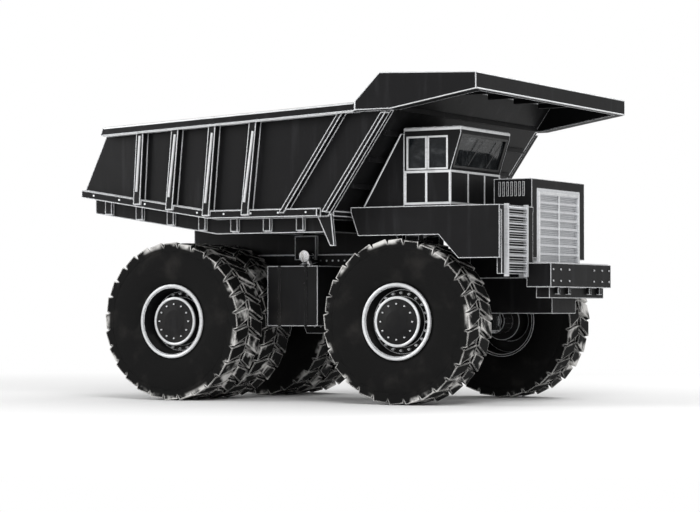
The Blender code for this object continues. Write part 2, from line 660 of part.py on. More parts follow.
def bed_side(label, side):
    """Side plate with its top and bottom rails and its ribs."""
    foot = FLOOR_Z - FLOOR_T
    front_top = CANOPY_SIDE_Z - SEAT
    plate = [
        (TAIL_X, TAIL_Z - FLOOR_T), (KINK_X, foot), (head_x(foot) + HEAD_T, foot),
        (head_x(front_top) + HEAD_T, front_top), (SIDE_FRONT[0], front_top), SIDE_FRONT, SIDE_REAR,
        (TAIL_X, TAIL_Z + 0.05),
    ]
    leg = [(0.66, foot + 0.04), (0.98, foot + 0.04), (1.05, 3.05), (0.96, 3.05)]
    shapes = [prism(plate, *span(side, BODY_HALF, BODY_HALF + SIDE_T))]
    shapes.append(prism(leg, *span(side, BODY_HALF + 0.01, BODY_HALF + SIDE_T - 0.01)))
    inner, outer = BODY_HALF + SIDE_T - 0.02, RIB_OUT
    slope = (SIDE_FRONT[1] - SIDE_REAR[1]) / (SIDE_FRONT[0] - SIDE_REAR[0])
    top = [SIDE_REAR, SIDE_FRONT, (SIDE_FRONT[0], SIDE_FRONT[1] - 0.16)]
    top.append((SIDE_REAR[0] - 0.06, SIDE_REAR[1] - 0.16))
    shapes.append(prism(top, *span(side, inner, BODY_OUT)))
    low = [
        (TAIL_X, TAIL_Z - FLOOR_T), (KINK_X, foot), (0.75, foot), (0.75, foot + 0.15),
        (KINK_X, foot + 0.15), (TAIL_X, TAIL_Z - FLOOR_T + 0.15),
    ]
    shapes.append(prism(low, *span(side, inner, RIB_OUT - 0.04)))
    ribs = [
        # x at the top, x at the foot, width
        (-3.31, -3.39, 0.16), (-2.47, -2.62, 0.16), (-1.60, -1.76, 0.16), (-0.66, -0.86, 0.16),
    ]
    for rib_top, rib_foot, width in ribs:
        head = SIDE_REAR[1] + slope * (rib_top - SIDE_REAR[0]) - 0.08
        base = floor_height(rib_foot) - FLOOR_T + 0.05
        rib = [(rib_foot - width / 2, base), (rib_foot + width / 2, base)]
        rib += [(rib_top + width / 2, head), (rib_top - width / 2, head)]
        shapes.append(prism(rib, *span(side, inner, outer)))
    for shift in (0.0, -0.95):
        base, head = foot + 0.08, SIDE_FRONT[1] - (0.08 if shift else 0.20)
        rib = [(head_x(base) + shift + 0.02, base), (head_x(base) + shift + 0.13, base)]
        rib += [(head_x(head) + shift + 0.13, head), (head_x(head) + shift + 0.02, head)]
        shapes.append(prism(rib, *span(side, inner, outer - 0.03)))
    piece("bed_side_" + label, "body_steel", shapes, origin=PIVOT)


def headboard():
    """The leaning front wall of the load space."""
    foot, head = FLOOR_Z + SEAT, CANOPY_CEILING - SEAT
    outline = [(head_x(foot), foot), (head_x(foot) + HEAD_T, foot)]
    outline += [(head_x(head) + HEAD_T, head), (head_x(head), head)]
    piece("bed_headboard", "body_steel", [prism(outline, -BODY_HALF + SEAT, BODY_HALF - SEAT)], origin=PIVOT)


def canopy():
    """The cab protector: a wide tray, open underneath, carried forward from the body's sides."""
    back = SIDE_FRONT[0] + SEAT
    outline = [
        (back, CANOPY_SIDE_Z), (back, SIDE_FRONT[1] + 0.02), CANOPY_REAR,
        (CANOPY_FRONT_X, CANOPY_FRONT_Z[1]), (CANOPY_FRONT_X, CANOPY_FRONT_Z[0]), (2.42, CANOPY_SIDE_Z),
    ]
    pocket = [
        (back + 0.12, CANOPY_SIDE_Z - 0.2), (back + 0.12, SIDE_FRONT[1] + 0.02),
        (CANOPY_REAR[0] + 0.02, CANOPY_CEILING), (CANOPY_FRONT_X - 0.09, CANOPY_CEILING),
        (CANOPY_FRONT_X - 0.09, CANOPY_SIDE_Z - 0.2),
    ]
    shell = prism(outline, -BODY_OUT, BODY_OUT)
    hollow = prism(pocket, -BODY_HALF - SEAT, BODY_HALF + SEAT)
    piece("bed_canopy", "body_steel", [shell], [hollow], origin=PIVOT)


# ---------------------------------------------------------------- hoist
def hoist(label, side):
    """A two-stage cylinder: barrel on the frame, sleeve inside it, rod with its eye."""
    along = (HOIST_EYE - HOIST_FOOT).normalized()
    length = (HOIST_EYE - HOIST_FOOT).length
    foot = HOIST_FOOT + Vector((0, side * HOIST_Y, 0))
    eye = HOIST_EYE + Vector((0, side * HOIST_Y, 0))
    turn = Vector((0, 1, 0)).rotation_difference(along).to_matrix().to_4x4()

    def placed(profile):
        bm = lathe(profile, 16)
        bmesh.ops.transform(bm, matrix=Matrix.Translation(foot) @ turn, verts=bm.verts)
        return bm

    bore = BARREL_R - BARREL_WALL
    sleeve_r = bore - RUN
    sleeve_bore = sleeve_r - STAGE_WALL
    rod_r = sleeve_bore - RUN
    cup = [(0, 0.16), (bore, 0.16), (bore, BARREL_LENGTH), (BARREL_R, BARREL_LENGTH), (BARREL_R, 0), (0, 0)]
    trunnion = rod(foot - Vector((0, BARREL_R, 0)), foot + Vector((0, BARREL_R, 0)), 0.12, 16)
    piece("hoist_barrel_" + label, "black_paint", [placed(cup), trunnion], origin=foot)
    first, last = STAGE_SPAN
    sleeve = [(sleeve_bore, first), (sleeve_r, first), (sleeve_r, last), (sleeve_bore, last)]
    piece("hoist_sleeve_" + label, "chrome_rod", [placed(sleeve)], origin=foot)
    bar = [(0, ROD_START), (rod_r, ROD_START), (rod_r, length - 0.02), (0, length - 0.02)]
    reach = Vector((0, HOIST_EYE_HALF, 0))
    ring = rod(eye - reach, eye + reach, HOIST_EYE_R, 16)
    piece("hoist_rod_" + label, "chrome_rod", [placed(bar), ring], origin=foot)


# ---------------------------------------------------------------- the truck
main_frame()
front_beam()
tie_rod()
rear_axle()
engine()
grille()
hood()
deck_right()
deck_left()
bumper()
cab_shell()
cab_glass()
cab_door()
cab_inside()
cab_back()
bed_floor()
bed_rails()
headboard()
canopy()
ladder("right", SIDES["right"])
tank("fuel_tank", SIDES["right"])
tank("hydraulic_tank", SIDES["left"])
for label, side in SIDES.items():
    front_strut(label, side)
    knuckle(label, side)
    front_rim(label, side)
    rear_rim(label, side)
    rear_strut(label, side)
    bed_side(label, side)
    hoist(label, side)
    tyre("front_tyre_" + label, side * FRONT_TYRE_Y, FRONT_X)
    tyre("rear_tyre_outer_" + label, side * REAR_OUTER_Y, REAR_X)
    tyre("rear_tyre_inner_" + label, side * REAR_INNER_Y, REAR_X)
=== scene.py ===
# %% [markdown]
# # A mining dump truck
# The hard parts of the truck (frame, body, cab, cylinders) come in as a fixed frame. This lesson
# gives them their finishes and adds what a real truck shows close up: deep-lugged tyres, wheel
# nuts, the fine bars of the radiator, rubber seals round the glass, bolts, hinges and a seat.

# %% Load the frame and keep its box
import json
from math import cos, pi, radians, sin

import bmesh
import bpy
from mathutils import Matrix, Vector


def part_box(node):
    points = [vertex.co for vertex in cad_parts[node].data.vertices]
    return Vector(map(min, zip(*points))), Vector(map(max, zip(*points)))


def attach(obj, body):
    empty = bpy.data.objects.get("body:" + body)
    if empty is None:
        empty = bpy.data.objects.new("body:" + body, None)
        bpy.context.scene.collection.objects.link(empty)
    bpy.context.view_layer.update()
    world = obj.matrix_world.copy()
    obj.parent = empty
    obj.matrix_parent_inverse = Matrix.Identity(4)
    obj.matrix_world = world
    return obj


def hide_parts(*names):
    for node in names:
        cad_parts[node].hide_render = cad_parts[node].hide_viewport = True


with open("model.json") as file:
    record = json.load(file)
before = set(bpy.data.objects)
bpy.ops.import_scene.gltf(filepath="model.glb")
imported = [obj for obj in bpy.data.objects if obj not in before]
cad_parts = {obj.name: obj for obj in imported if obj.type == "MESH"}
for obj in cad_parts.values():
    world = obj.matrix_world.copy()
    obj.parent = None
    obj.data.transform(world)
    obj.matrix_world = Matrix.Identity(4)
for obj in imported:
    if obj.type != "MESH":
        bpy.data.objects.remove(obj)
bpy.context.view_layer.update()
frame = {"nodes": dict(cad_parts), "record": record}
nodes = frame["nodes"]

# %% [markdown]
# ## Shader maths
# A finish is easier to read as sums than as wires. The class below wraps a socket, so `mask * 0.5`
# adds a Math node. Colours go through a Mix node instead, because a Math node has no colour.

# %% A socket that takes part in sums
class Wire:
    """A shader socket that adds Math nodes when it is used in an expression."""

    def __init__(self, finish, socket):
        self.finish = finish
        self.socket = socket

    def maths(self, operation, *values):
        return self.finish.node("ShaderNodeMath", {"operation": operation}, dict(enumerate(values)))

    def __add__(self, other):
        return self.maths("ADD", self, other)

    def __sub__(self, other):
        return self.maths("SUBTRACT", self, other)

    def __mul__(self, other):
        return self.maths("MULTIPLY", self, other)

    def __rsub__(self, other):
        return self.maths("SUBTRACT", other, self)

    __radd__ = __add__
    __rmul__ = __mul__

    def above(self, low, high):
        """0 under low, 1 over high, and a smooth step between them."""
        return self.finish.node(
            "ShaderNodeMapRange", {"interpolation_type": "SMOOTHSTEP"},
            {"Value": self, "From Min": low, "From Max": high}, "Result",
        )


# %% A finish: one material and the nodes behind it
class Finish:
    """A Principled material, with one method that adds any other node."""

    def __init__(self, name, **constants):
        self.material = bpy.data.materials.new(name)
        self.material.use_nodes = True
        self.tree = self.material.node_tree
        self.shader = self.tree.nodes["Principled BSDF"]
        for socket, value in constants.items():
            self.shader.inputs[socket.replace("_", " ")].default_value = value
        self.place = self.node("ShaderNodeTexCoord", {}, {}, "Object")

    def node(self, kind, settings, inputs, output=0):
        made = self.tree.nodes.new(kind)
        for name, value in settings.items():
            setattr(made, name, value)
        for name, value in inputs.items():
            if isinstance(value, Wire):
                self.tree.links.new(value.socket, made.inputs[name])
            else:
                made.inputs[name].default_value = value
        return Wire(self, made.outputs[output])

    def feed(self, socket, wire):
        self.tree.links.new(wire.socket, self.shader.inputs[socket])

    def noise(self, scale, detail=4.0, stretch=(1, 1, 1)):
        """Cloudy noise from 0 to 1, scale lumps to the metre."""
        spread = self.node("ShaderNodeMapping", {}, {"Vector": self.place, "Scale": stretch})
        return self.node(
            "ShaderNodeTexNoise", {}, {"Vector": spread, "Scale": scale, "Detail": detail}, "Fac",
        )

    def blend(self, mask, first, second):
        """first where mask is 0, second where it is 1. Each is a colour or a wire."""
        colours = [c if isinstance(c, Wire) else (*c, 1.0) for c in (first, second)]
        return self.node(
            "ShaderNodeMix", {"data_type": "RGBA"},
            {0: mask, 6: colours[0], 7: colours[1]}, 2,
        )

    def bump(self, height, strength, distance):
        self.feed("Normal", self.node(
            "ShaderNodeBump", {}, {"Height": height, "Strength": strength, "Distance": distance},
        ))

    def edge(self, width):
        """1 on edges and 0 on flat plates: the rounded normal leaves the true one there."""
        rounded = self.node("ShaderNodeBevel", {"samples": 6}, {"Radius": width})
        true = self.node("ShaderNodeNewGeometry", {}, {}, "Normal")
        likeness = self.node(
            "ShaderNodeVectorMath", {"operation": "DOT_PRODUCT"}, {0: rounded, 1: true}, "Value",
        )
        return 1.0 - likeness

    def height(self):
        """The Z coordinate in metres."""
        return self.node("ShaderNodeSeparateXYZ", {}, {"Vector": self.place}, "Z")


print("shader helpers ready")

# %% [markdown]
# ## Painted steel
# The truck is black from the tyres to the canopy. Every edge is painted pale, partly where work has
# rubbed the paint off to bare metal and partly as a painted highlight, so ribs, rails and posts are
# drawn in pale lines, broken where the edge mask misses. A Bevel node
# finds the edges: it returns a rounded normal, and where that differs from the plate's own normal
# there is an edge. Dust settles low down, and rain pulls faint streaks down the plates.

# %% Black paint and the body's steel, with pale edges from wear and a painted highlight
BLACK = (0.0035, 0.0035, 0.004)
GREY = (0.022, 0.022, 0.024)
BARE_AND_HIGHLIT = (0.82, 0.83, 0.85)
DUST = (0.07, 0.067, 0.062)


def painted(name, edge_width, dust_top, roughness):
    """Black paint with pale edges (bare worn metal and a painted highlight), faint streaks and dust
    below dust_top metres.
    """
    finish = Finish(
        name, Metallic=0.0, Roughness=roughness, Coat_Roughness=0.25, Specular_IOR_Level=0.14,
    )
    cloud = finish.noise(1.3)
    streak = finish.noise(5.0, 3.0, (1, 1, 0.12))
    grain = finish.noise(38.0, 3.0)
    base = finish.blend(streak.above(0.52, 0.78) * 0.4 + cloud.above(0.5, 0.9) * 0.2, BLACK, GREY)
    # Pale edge mask: paint rubbed off to bare metal, and a painted highlight along every edge.
    rubbed_and_highlit = (finish.edge(edge_width) * 5.0 + grain * 0.5 - 0.36).above(0.10, 0.26)
    low = 1.0 - finish.height().above(0.3, dust_top)
    dusty = finish.blend(low * cloud.above(0.35, 0.75) * 0.5, base, DUST)
    finish.feed("Base Color", finish.blend(rubbed_and_highlit, dusty, BARE_AND_HIGHLIT))
    finish.feed("Metallic", rubbed_and_highlit * 0.15)
    finish.feed("Roughness", grain * 0.18 + (roughness - 0.08) - rubbed_and_highlit * 0.05)
    finish.feed("Coat Weight", (1.0 - rubbed_and_highlit) * 0.06)
    finish.bump(grain * 0.5 + cloud * 0.5, 0.12, 0.004)
    return finish.material


black_paint = painted("black_paint", 0.030, 2.6, 0.58)
body_steel = painted("body_steel", 0.042, 3.9, 0.62)
plain_black = painted("plain_black", 0.0005, 3.9, 0.62)
print("painted finishes", black_paint.name, body_steel.name)

# %% [markdown]
# ## Bare metal, rubber, glass and cloth
# The radiator, ladders and suspension cylinders are pale metal, dull with fine scratches. A tyre is
# never plain black: the sidewall is clouded with dust, and the lug edges are painted pale, partly
# gravel scuffs and partly a painted highlight.

# %% Pale metal and polished rods
def pale_metal(name, colour, roughness):
    """Dull pale metal with long scratches and a few darker stains."""
    finish = Finish(name, Metallic=0.55, Roughness=roughness)
    scratch = finish.noise(30.0, 5.0, (0.15, 1, 1))
    stain = finish.noise(3.0, 6.0)
    shade = tuple(channel * 0.55 for channel in colour)
    worn = scratch.above(0.45, 0.7) * 0.4 + stain.above(0.55, 0.85) * 0.6
    finish.feed("Base Color", finish.blend(worn, colour, shade))
    finish.feed("Roughness", scratch * 0.2 + (roughness - 0.1))
    finish.bump(scratch, 0.15, 0.002)
    return finish.material


pale_steel = pale_metal("pale_steel", (0.66, 0.67, 0.69), 0.42)
# Pale bars, strips, rings and trims: partly bare worn metal, partly a painted highlight along the
# truck's edges.
worn_and_highlit_trim = pale_metal("worn_and_highlit_trim", (0.72, 0.73, 0.74), 0.38)
chrome_rod = Finish("chrome_rod", Metallic=1.0, Roughness=0.16)
smear = chrome_rod.noise(9.0, 4.0, (1, 1, 0.2))
smeared = chrome_rod.blend(smear.above(0.5, 0.8), (0.78, 0.78, 0.79), (0.45, 0.44, 0.42))
chrome_rod.feed("Base Color", smeared)
chrome_rod.feed("Roughness", smear * 0.22 + 0.05)
chrome_rod = chrome_rod.material
print("metal finishes ready")

# %% Tyre rubber, glass and the seat's cloth
def rubber(name, axle):
    """Black rubber about an axle at (x, z), with the lug edges on the tread painted pale: gravel scuffs
    and a painted highlight.
    """
    finish = Finish(name, Metallic=0.0, Roughness=0.82, Specular_IOR_Level=0.14)
    split = finish.node("ShaderNodeSeparateXYZ", {}, {"Vector": finish.place}, "X")
    across = split - axle[0]
    up = finish.height() - axle[1]
    squared = across * across + up * up
    radius = squared.maths("POWER", squared, 0.5)
    cloud = finish.noise(2.4, 6.0)
    grain = finish.noise(60.0, 3.0)
    tread = radius.above(1.46, 1.54)
    # Pale lug edges on the tread: gravel scuffs, and a painted highlight along each lug's edge.
    scuffed_and_highlit = (finish.edge(0.034) * 6.0 + cloud * 1.2 - 0.56).above(0.08, 0.26) * tread
    dark = finish.blend(cloud.above(0.5, 0.85), (0.0035, 0.0035, 0.0035), (0.016, 0.015, 0.014))
    finish.feed("Base Color", finish.blend(scuffed_and_highlit, dark, (0.66, 0.65, 0.63)))
    finish.feed("Roughness", 0.92 - grain * 0.25)
    finish.bump(grain * 0.6 + cloud * 0.4, 0.25, 0.006)
    return finish.material


WHEEL_R = (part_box("front_tyre_left")[1][2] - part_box("front_tyre_left")[0][2]) / 2
AXLES = {}
for end in ("front_tyre_left", "rear_tyre_outer_left"):
    low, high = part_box(end)
    AXLES[end.split("_")[0]] = ((low[0] + high[0]) / 2, (low[2] + high[2]) / 2)
tyre_rubber = {end: rubber("tyre_rubber_" + end, axle) for end, axle in AXLES.items()}

seal_rubber = Finish("seal_rubber", Metallic=0.0, Roughness=0.7)
chalk = seal_rubber.blend(seal_rubber.noise(20.0), (0.02, 0.02, 0.02), (0.08, 0.08, 0.08))
seal_rubber.feed("Base Color", chalk)
seal_rubber = seal_rubber.material

cab_glass = Finish("cab_glass", Metallic=0.0, Roughness=0.06, IOR=1.45, Alpha=0.62)
film = cab_glass.noise(4.0, 5.0)
tint = cab_glass.blend(film.above(0.5, 0.8), (0.010, 0.012, 0.014), (0.10, 0.105, 0.11))
cab_glass.feed("Base Color", tint)
cab_glass.feed("Roughness", film * 0.14)
cab_glass = cab_glass.material

seat_cloth = Finish("seat_cloth", Metallic=0.0, Roughness=0.92)
weave = seat_cloth.noise(220.0, 1.0)
seat_cloth.feed("Base Color", seat_cloth.blend(weave, (0.03, 0.03, 0.034), (0.10, 0.10, 0.11)))
seat_cloth.bump(weave, 0.4, 0.001)
seat_cloth = seat_cloth.material
print("axles", AXLES, "wheel radius", round(WHEEL_R, 3))

# %% [markdown]
# ## Give the fixed parts their finishes
# A fixed part keeps its shape, and only its material slot changes. The slot names of the frame say
# which finish each part has.

# %% Paint the frame's own parts
FINISHES = {
    "black_paint": black_paint,
    "body_steel": body_steel,
    "pale_steel": pale_steel,
    "chrome_rod": chrome_rod,
    "cab_glass": cab_glass,
    "seat_fabric": seat_cloth,
}
slot_of = {part["node"]: part["material_slot"] for part in frame["record"]["subparts"]}
painted_nodes = 0
for name, part in nodes.items():
    finish = FINISHES.get(slot_of[name])
    if slot_of[name] == "tyre_rubber":
        finish = tyre_rubber[name.split("_")[0]]
    for number in range(len(part.material_slots)):
        part.material_slots[number].material = finish
        painted_nodes += 1
print("painted", painted_nodes)

# %% [markdown]
# ## Helpers for new pieces
# Each new piece starts as a bmesh, is shaped by operators, and is handed over finished: its place
# is in its mesh, its normals point outwards, it wears one material and it rides on one body.

# %% Hand a finished bmesh over as a piece
def settle(name, bm, material, body, smooth=True, bevel=0.0):
    """Turns bm into a piece called name that rides on body."""
    bmesh.ops.remove_doubles(bm, verts=bm.verts, dist=0.0002)
    bmesh.ops.recalc_face_normals(bm, faces=bm.faces)
    mesh = bpy.data.meshes.new(name)
    bm.to_mesh(mesh)
    bm.free()
    made = bpy.data.objects.new(name, mesh)
    bpy.context.scene.collection.objects.link(made)
    mesh.materials.append(material)
    if smooth:
        mesh.shade_smooth()
        mesh.set_sharp_from_angle(angle=radians(38))
    if bevel:
        rounding = made.modifiers.new("rounding", "BEVEL")
        rounding.width = bevel
        rounding.segments = 2
        rounding.limit_method = "ANGLE"
    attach(made, body)
    return made


def add_box(bm, low, high):
    """A box between two corners, added to bm; returns its vertices."""
    made = bmesh.ops.create_cube(bm, size=1.0)["verts"]
    size = [b - a for a, b in zip(low, high)]
    bmesh.ops.scale(bm, vec=size, verts=made)
    bmesh.ops.translate(bm, vec=[(a + b) / 2 for a, b in zip(low, high)], verts=made)
    return made


def add_bar(bm, start, end, radius, sides=8):
    """A round bar between two points, added to bm."""
    start, end = Vector(start), Vector(end)
    turn = Vector((0, 0, 1)).rotation_difference((end - start).normalized()).to_matrix().to_4x4()
    place = Matrix.Translation((start + end) / 2) @ turn
    return bmesh.ops.create_cone(
        bm, cap_ends=True, segments=sides, radius1=radius, radius2=radius,
        depth=(end - start).length, matrix=place,
    )["verts"]


print("piece helpers ready")

# %% [markdown]
# ## Tyres
# A mining tyre has a thick carcass and a tread of deep lugs that wrap over the shoulder. The
# carcass is half a section spun once about the axle. The lugs are copies of one block, set round
# the tread in two staggered rows that lean against each other, so the tread grips both ways.

# %% Spin a carcass and set its lugs
LUGS = 28
SECTION = [
    # radius as a share of the wheel's, half width in metres
    (0.468, 0.40), (0.52, 0.452), (0.62, 0.486), (0.74, 0.497), (0.84, 0.493),
    (0.905, 0.470), (0.940, 0.425), (0.945, 0.25), (0.946, 0.0),
]


def add_carcass(bm, radius, middle):
    """The tyre's body, spun about the axle through middle."""
    half = [(r * radius, w) for r, w in SECTION]
    whole = [(r, -w) for r, w in half] + [(r, w) for r, w in half[-2::-1]]
    points = [bm.verts.new((middle[0] + r, middle[1] + w, middle[2])) for r, w in whole]
    line = [bm.edges.new(pair) for pair in zip(points, points[1:] + points[:1])]
    bmesh.ops.spin(
        bm, geom=points + line, cent=middle, axis=(0, 1, 0), angle=2 * pi, steps=96, use_merge=True,
    )


def add_lug(bm, radius, middle, angle, side, lean):
    """One tread block: a box tapered outwards, sheared, and bent down over the shoulder."""
    block = bmesh.ops.create_cube(bm, size=1.0)["verts"]
    inner = radius * 0.93
    reach = (0.035, 0.485)
    for corner in block:
        out = corner.co.z > 0
        far = corner.co.y > 0
        across = reach[1] if far else reach[0]
        top = radius * (0.984 if far else 0.994)
        width = (0.118 if out else 0.140) * (1.28 if far else 0.9)
        lift = top if out else (inner - (0.10 if far else 0.0))
        along = corner.co.x * 2 * width + lean * across
        corner.co = Vector((along, side * across, lift))
    turn = Matrix.Rotation(angle, 4, "Y")
    bmesh.ops.transform(bm, matrix=Matrix.Translation(middle) @ turn, verts=block)


def build_tyre(node, body, end):
    """A lugged tyre in place of a plain one."""
    low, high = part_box(node)
    middle = Vector([(a + b) / 2 for a, b in zip(low, high)])
    bm = bmesh.new()
    add_carcass(bm, WHEEL_R, middle)
    pitch = 2 * pi / LUGS
    for number in range(LUGS):
        add_lug(bm, WHEEL_R, middle, number * pitch, 1, 0.34)
        add_lug(bm, WHEEL_R, middle, (number + 0.5) * pitch, -1, 0.34)
    made = settle(node + "_tread", bm, tyre_rubber[end], body, bevel=0.012)
    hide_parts(node)
    return made


SIDES = {"left": 1, "right": -1}
for label in SIDES:
    build_tyre("front_tyre_" + label, "front_wheel_" + label, "front")
    build_tyre("rear_tyre_outer_" + label, "rear_wheels_" + label, "rear")
    build_tyre("rear_tyre_inner_" + label, "rear_wheels_" + label, "rear")
print("tyres", 6, "lugs each", 2 * LUGS)

# %% [markdown]
# ## Wheels
# Each rim shows two pale rings: the lock ring that holds the tyre's bead, and the flange of the
# hub, with wheel nuts between them. The rings are a small circle spun about the axle.

# %% Lock rings, hub rings and nuts
def add_ring(bm, middle, radius, thick, sides=8, steps=64):
    """A round ring about the axle through middle."""
    start = middle + Vector((radius, 0, 0))
    circle = bmesh.ops.create_circle(
        bm, cap_ends=False, radius=thick, segments=sides, matrix=Matrix.Translation(start),
    )["verts"]
    line = list({edge for corner in circle for edge in corner.link_edges})
    bmesh.ops.spin(
        bm, geom=circle + line, cent=middle, axis=(0, 1, 0), angle=2 * pi, steps=steps, use_merge=True,
    )


def build_wheel_trim(end, label, side, rim, body):
    """Rings, nuts and the hub's cover bolts on one wheel's outer face."""
    low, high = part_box(rim)
    face = high[1] if side > 0 else low[1]
    axle = AXLES[end]
    dish = 0.24 if end == "front" else 0.36
    bm = bmesh.new()
    add_ring(bm, Vector((axle[0], face - side * 0.012, axle[1])), 0.712, 0.034)
    hub = Vector((axle[0], face - side * (0.055 if end == "front" else 0.125), axle[1]))
    add_ring(bm, hub, 0.462, 0.030)
    settle("%s_wheel_rings_%s" % (end, label), bm, worn_and_highlit_trim, body)
    bm = bmesh.new()
    for number in range(20):
        turn = 2 * pi * number / 20
        spoke = Vector((0.555 * sin(turn), 0, 0.555 * cos(turn)))
        foot = Vector((axle[0], face - side * (dish + 0.03), axle[1])) + spoke
        add_bar(bm, foot, foot + Vector((0, side * 0.075, 0)), 0.026, 6)
        add_bar(bm, foot, foot + Vector((0, side * 0.115, 0)), 0.012, 8)
    for number in range(12):
        turn = 2 * pi * number / 12
        foot = hub + Vector((0.345 * sin(turn), -side * 0.02, 0.345 * cos(turn)))
        add_bar(bm, foot, foot + Vector((0, side * 0.075, 0)), 0.016, 6)
    settle("%s_wheel_nuts_%s" % (end, label), bm, black_paint, body)


for label, side in SIDES.items():
    build_wheel_trim("front", label, side, "front_rim_" + label, "front_wheel_" + label)
    build_wheel_trim("rear", label, side, "rear_rim_" + label, "rear_wheels_" + label)
print("wheel trim on", 4, "wheels")

# %% [markdown]
# ## Nose of the truck
# The radiator is what the eye finds first: a bright frame crossed by level bars. The grille has the
# deep slots already, so fine bars and a raised rim are all it needs. Beside it stands the
# ladder, and the bumper's top is a tread plate. They are boxes and bars, in one mesh each.

# %% Radiator bars and rim
face_low, face_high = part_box("radiator_grille")
nose_x = face_high[0]
bm = bmesh.new()
RIM = 0.055
core_y = (face_low[1] + 0.05, face_high[1] - 0.05)
core_z = (face_low[2] + 0.07, face_high[2] - 0.05)
for y in (core_y[0], core_y[1] - RIM):
    add_box(bm, (nose_x - 0.004, y, core_z[0]), (nose_x + 0.028, y + RIM, core_z[1]))
for z in (core_z[0], core_z[1] - RIM):
    add_box(bm, (nose_x - 0.004, core_y[0] + RIM, z), (nose_x + 0.026, core_y[1] - RIM, z + RIM))
middle_post = (core_y[0] + core_y[1]) / 2
post_low = (nose_x - 0.004, middle_post - 0.022, core_z[0] + RIM)
add_box(bm, post_low, (nose_x + 0.020, middle_post + 0.022, core_z[1] - RIM))
settle("radiator_rim", bm, worn_and_highlit_trim, "chassis", smooth=False, bevel=0.006)

bm = bmesh.new()
BARS = 44
for number in range(BARS):
    z = core_z[0] + RIM + (core_z[1] - core_z[0] - 2 * RIM) * (number + 0.5) / BARS
    start = (nose_x - 0.052, core_y[0] + RIM + 0.03, z - 0.005)
    add_box(bm, start, (nose_x - 0.012, core_y[1] - RIM - 0.03, z + 0.005))
settle("radiator_fins", bm, pale_steel, "chassis", smooth=False)
print("radiator bars", BARS)

# %% Louvres in the hood and bolts round it
hood_low, hood_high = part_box("hood")
bm = bmesh.new()
for side in SIDES.values():
    wall = hood_high[1] if side > 0 else hood_low[1]
    for number in range(7):
        x = hood_low[0] + 0.10 + number * 0.085
        fin = add_box(bm, (x, wall - 0.005, 4.02), (x + 0.05, wall + 0.005, 4.30))
        bmesh.ops.translate(bm, vec=(0, side * 0.012, 0), verts=[c for c in fin if c.co.x > x + 0.02])
for x in (hood_low[0] + 0.08, nose_x - 0.10):
    for number in range(9):
        y = hood_low[1] + 0.12 + number * (hood_high[1] - hood_low[1] - 0.24) / 8
        add_bar(bm, (x, y, hood_high[2] - 0.004), (x, y, hood_high[2] + 0.016), 0.014, 6)
settle("hood_louvres_and_bolts", bm, black_paint, "chassis", smooth=False)

bumper_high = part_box("front_bumper")[1]
bm = bmesh.new()
for y in (-1.0, -0.5, 0.5, 1.0):
    add_box(bm, (bumper_high[0] - 0.13, y - 0.045, 2.12), (bumper_high[0] - 0.03, y + 0.045, 2.28))
for side in SIDES.values():
    for z in (2.38, 2.60):
        for y in (0.6, 1.0, 1.35):
            seat = Vector((bumper_high[0] - 0.005, side * y, z))
            add_bar(bm, seat, seat + Vector((0.023, 0, 0)), 0.022, 6)
settle("bumper_bolts_and_lugs", bm, black_paint, "chassis", bevel=0.004)

bm = bmesh.new()
PLATE_PITCH = 0.085
for side in SIDES.values():
    for number in range(26):
        y = side * (0.25 + number * PLATE_PITCH)
        if abs(y) < bumper_high[1] - 0.06:
            start = (bumper_high[0] - 0.33, y - 0.03, bumper_high[2] - 0.002)
            add_box(bm, start, (bumper_high[0] - 0.03, y + 0.03, bumper_high[2] + 0.014))
settle("bumper_tread", bm, worn_and_highlit_trim, "chassis", smooth=False)
print("nose trim done")

# %% Fine treads in the ladder
step_low, step_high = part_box("ladder_right")
middle_x = (step_low[0] + step_high[0]) / 2
bm = bmesh.new()
for number in range(27):
    z = step_low[2] + 0.05 + number * 0.047
    start = (middle_x - 0.03, step_low[1] + 0.055, z)
    add_box(bm, start, (middle_x + 0.03, step_high[1] - 0.055, z + 0.008))
settle("ladder_treads", bm, worn_and_highlit_trim, "chassis", smooth=False)
print("ladder treads done")

# %% [markdown]
# ## Cab
# Each side pane sits in a pale frame, and the windshield in a black rubber seal. Both stand a little
# proud of the wall, so a window reads as a window from any side. Pale strips follow the cab's
# folds, and hinges, a handle, wipers and a ribbed roof sheet finish it.

# %% Window frames and seals
def add_frame(bm, low, high, across, band, proud):
    """Four bars round the box low..high, on the wall whose axis number is across."""
    first, second = [axis for axis in range(3) if axis != across]
    for axis, other in ((first, second), (second, first)):
        for edge in (low, high):
            start, end = list(low), list(high)
            start[across] -= proud
            end[across] += proud
            start[other] = edge[other] - (band if edge is low else 0)
            end[other] = edge[other] + (0 if edge is low else band)
            if axis == first:
                start[axis] -= band
                end[axis] += band
            add_box(bm, start, end)


shell_low, shell_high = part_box("cab_shell")
bm = bmesh.new()
for name in ("side_glass_1", "side_glass_2"):
    low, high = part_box(name)
    wall = shell_low[1]
    near = (low[0] + 0.012, wall - 0.002, low[2] + 0.012)
    far = (high[0] - 0.012, wall + 0.004, high[2] - 0.012)
    add_frame(bm, near, far, 1, 0.035, 0.008)
settle("side_window_frames", bm, worn_and_highlit_trim, "chassis", bevel=0.004)

